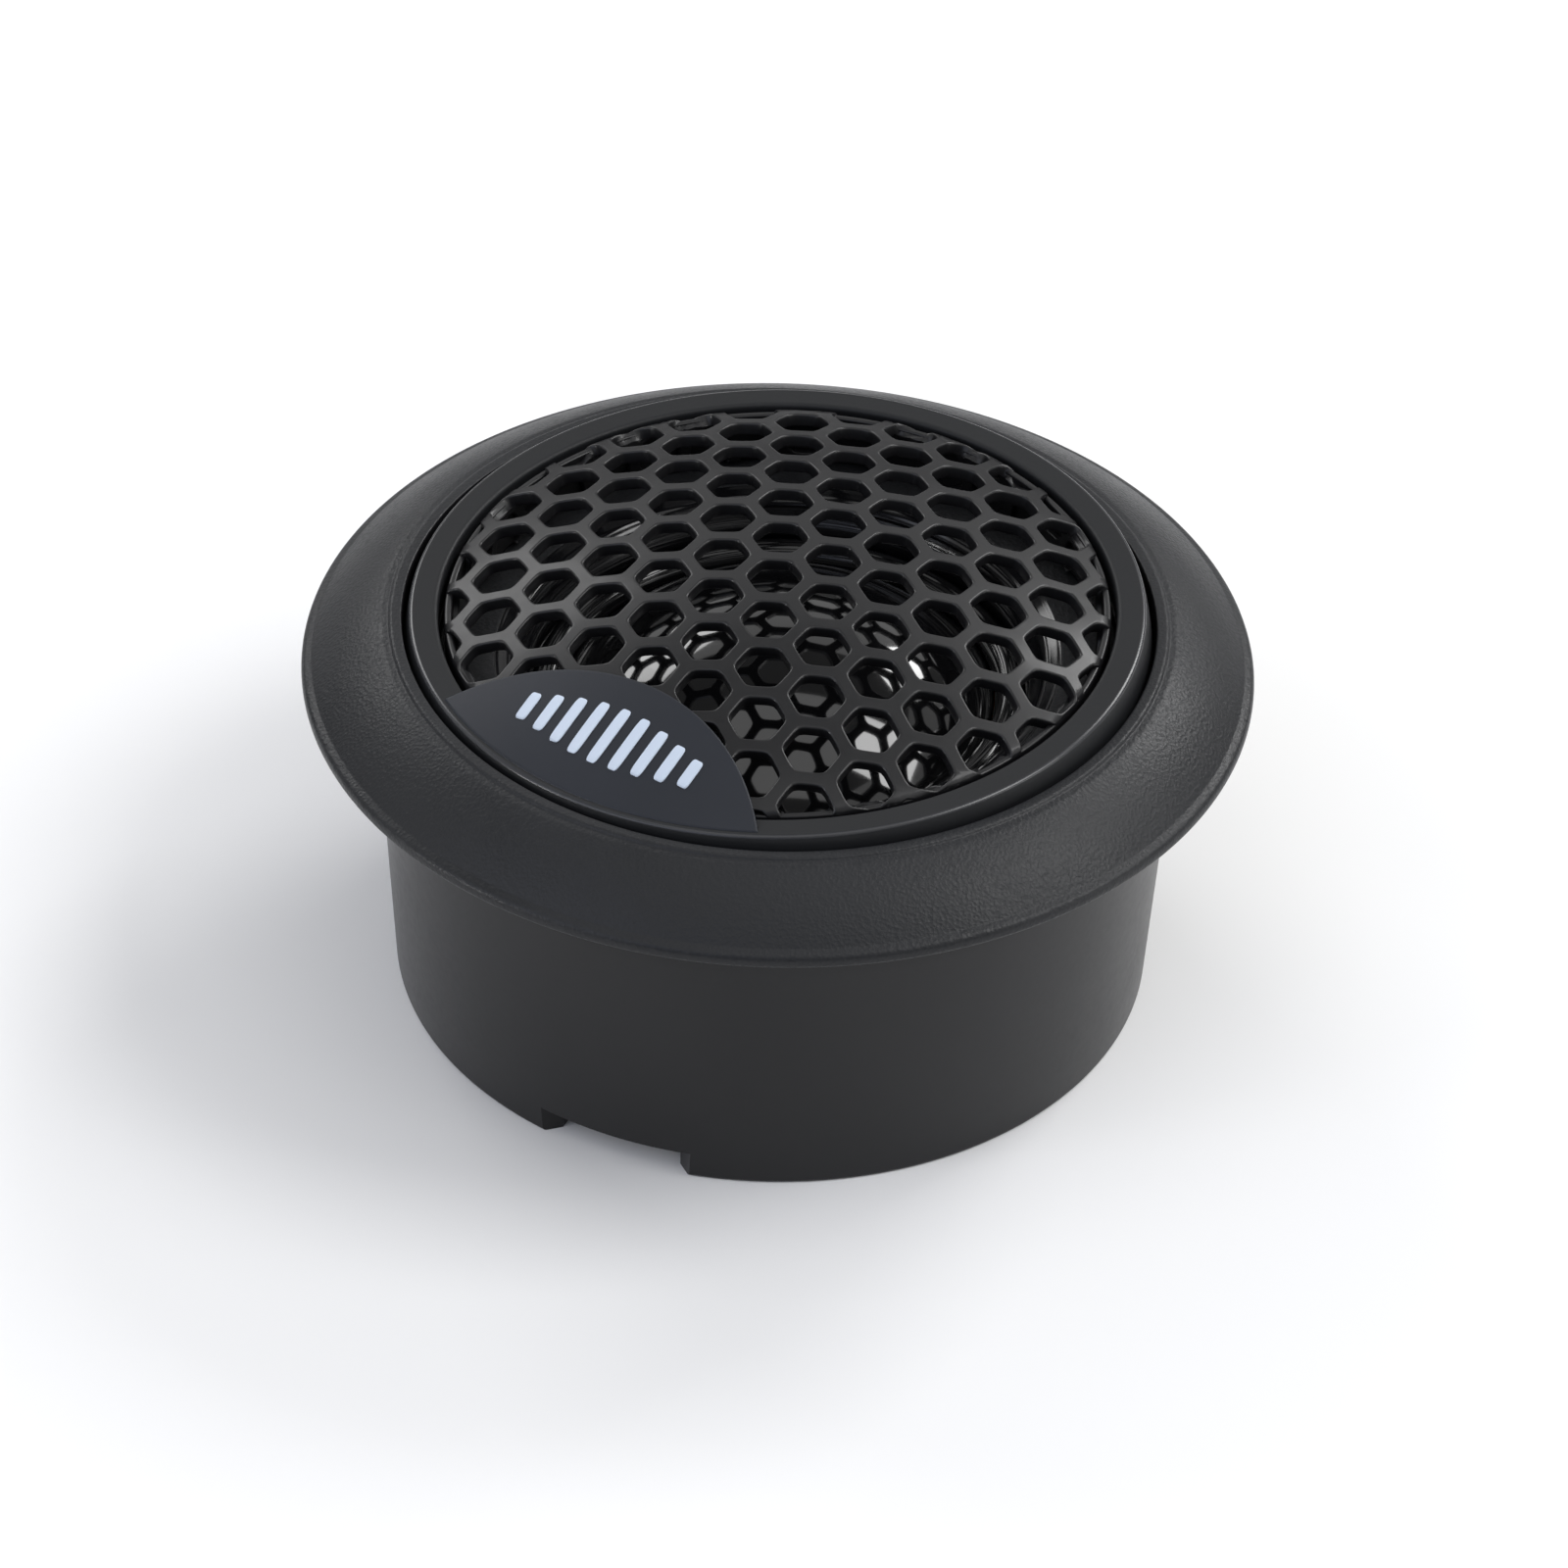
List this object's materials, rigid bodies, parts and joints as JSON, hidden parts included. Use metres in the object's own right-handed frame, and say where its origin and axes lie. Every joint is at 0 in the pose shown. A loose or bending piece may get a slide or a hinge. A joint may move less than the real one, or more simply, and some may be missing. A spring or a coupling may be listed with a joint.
{
  "type": "car tweeter",
  "caption": "Round car tweeter: a capsule with a domed hexagonal mesh grille, aimable in a flush-mount cup with a wide sloping flange and a wire notch.",
  "frame": {"origin": "centre of the cup's bottom edge, on its axis", "axes": "+Z out of the front, along the cup's axis; the wire notch is on the -Y, -X side"},
  "size_m": [0.056, 0.056, 0.0288],
  "materials": {
    "cup_plastic": "charcoal ABS, fine eroded texture on the flange, satin wall",
    "shell_plastic": "satin moulded",
    "bezel_plastic": "satin moulded",
    "badge_plastic": "satin moulded",
    "badge_ink": "flat pale print",
    "grille_paint": "semi-gloss black powder coat",
    "face_plastic": "textured moulded",
    "surround_film": "glossy coated film",
    "dome_film": "glossy moulded film",
    "former_film": "amber polyimide film",
    "copper_wire": "enamelled wire",
    "carrier_plastic": "moulded",
    "screw_steel": "zinc plated",
    "pole_steel": "zinc plated",
    "magnet_nickel": "nickel plated",
    "felt": "wool felt",
    "foam": "open-cell foam",
    "board": "solder-masked laminate",
    "tab_brass": "tinned brass",
    "ring_rubber": "matt moulded"
  },
  "bodies": {
    "cup": {"mounting_cup": "cup_plastic"},
    "swivel": {"friction_ring": "ring_rubber"},
    "capsule": {"capsule_shell": "shell_plastic", "rear_cap": "shell_plastic", "bezel_ring": "bezel_plastic", "badge_plate": "badge_plastic", "badge_print": "badge_ink", "grille": "grille_paint", "face_plate": "face_plastic", "surround": "surround_film", "carrier_ring": "carrier_plastic", "clamp_screws": "screw_steel", "top_plate": "pole_steel", "magnet": "magnet_nickel", "yoke": "pole_steel", "damping_pad": "felt", "rear_foam": "foam", "terminal_board": "board", "terminal_tabs": "tab_brass", "coil_leads": "copper_wire"},
    "diaphragm": {"dome": "dome_film", "voice_coil_former": "former_film", "voice_coil": "copper_wire"}
  },
  "joints": [
    {"name": "capsule_turn", "type": "hinge", "parent": "cup", "child": "swivel", "pos_m": [0, 0, 0.02], "axis": [0, 0, 1], "range_deg": [-170, 170]},
    {"name": "capsule_tilt", "type": "hinge", "parent": "swivel", "child": "capsule", "pos_m": [0, 0, 0.02], "axis": [0.4226, -0.9063, 0], "range_deg": [-13.5, 10.5]},
    {"name": "diaphragm_travel", "type": "slide", "parent": "capsule", "child": "diaphragm", "axis": [-0.0237, -0.0111, 0.9997], "range_m": [-0.0004, 0.0004], "stiffness_N_per_m": 1000, "deforming": ["surround"]}
  ]
}
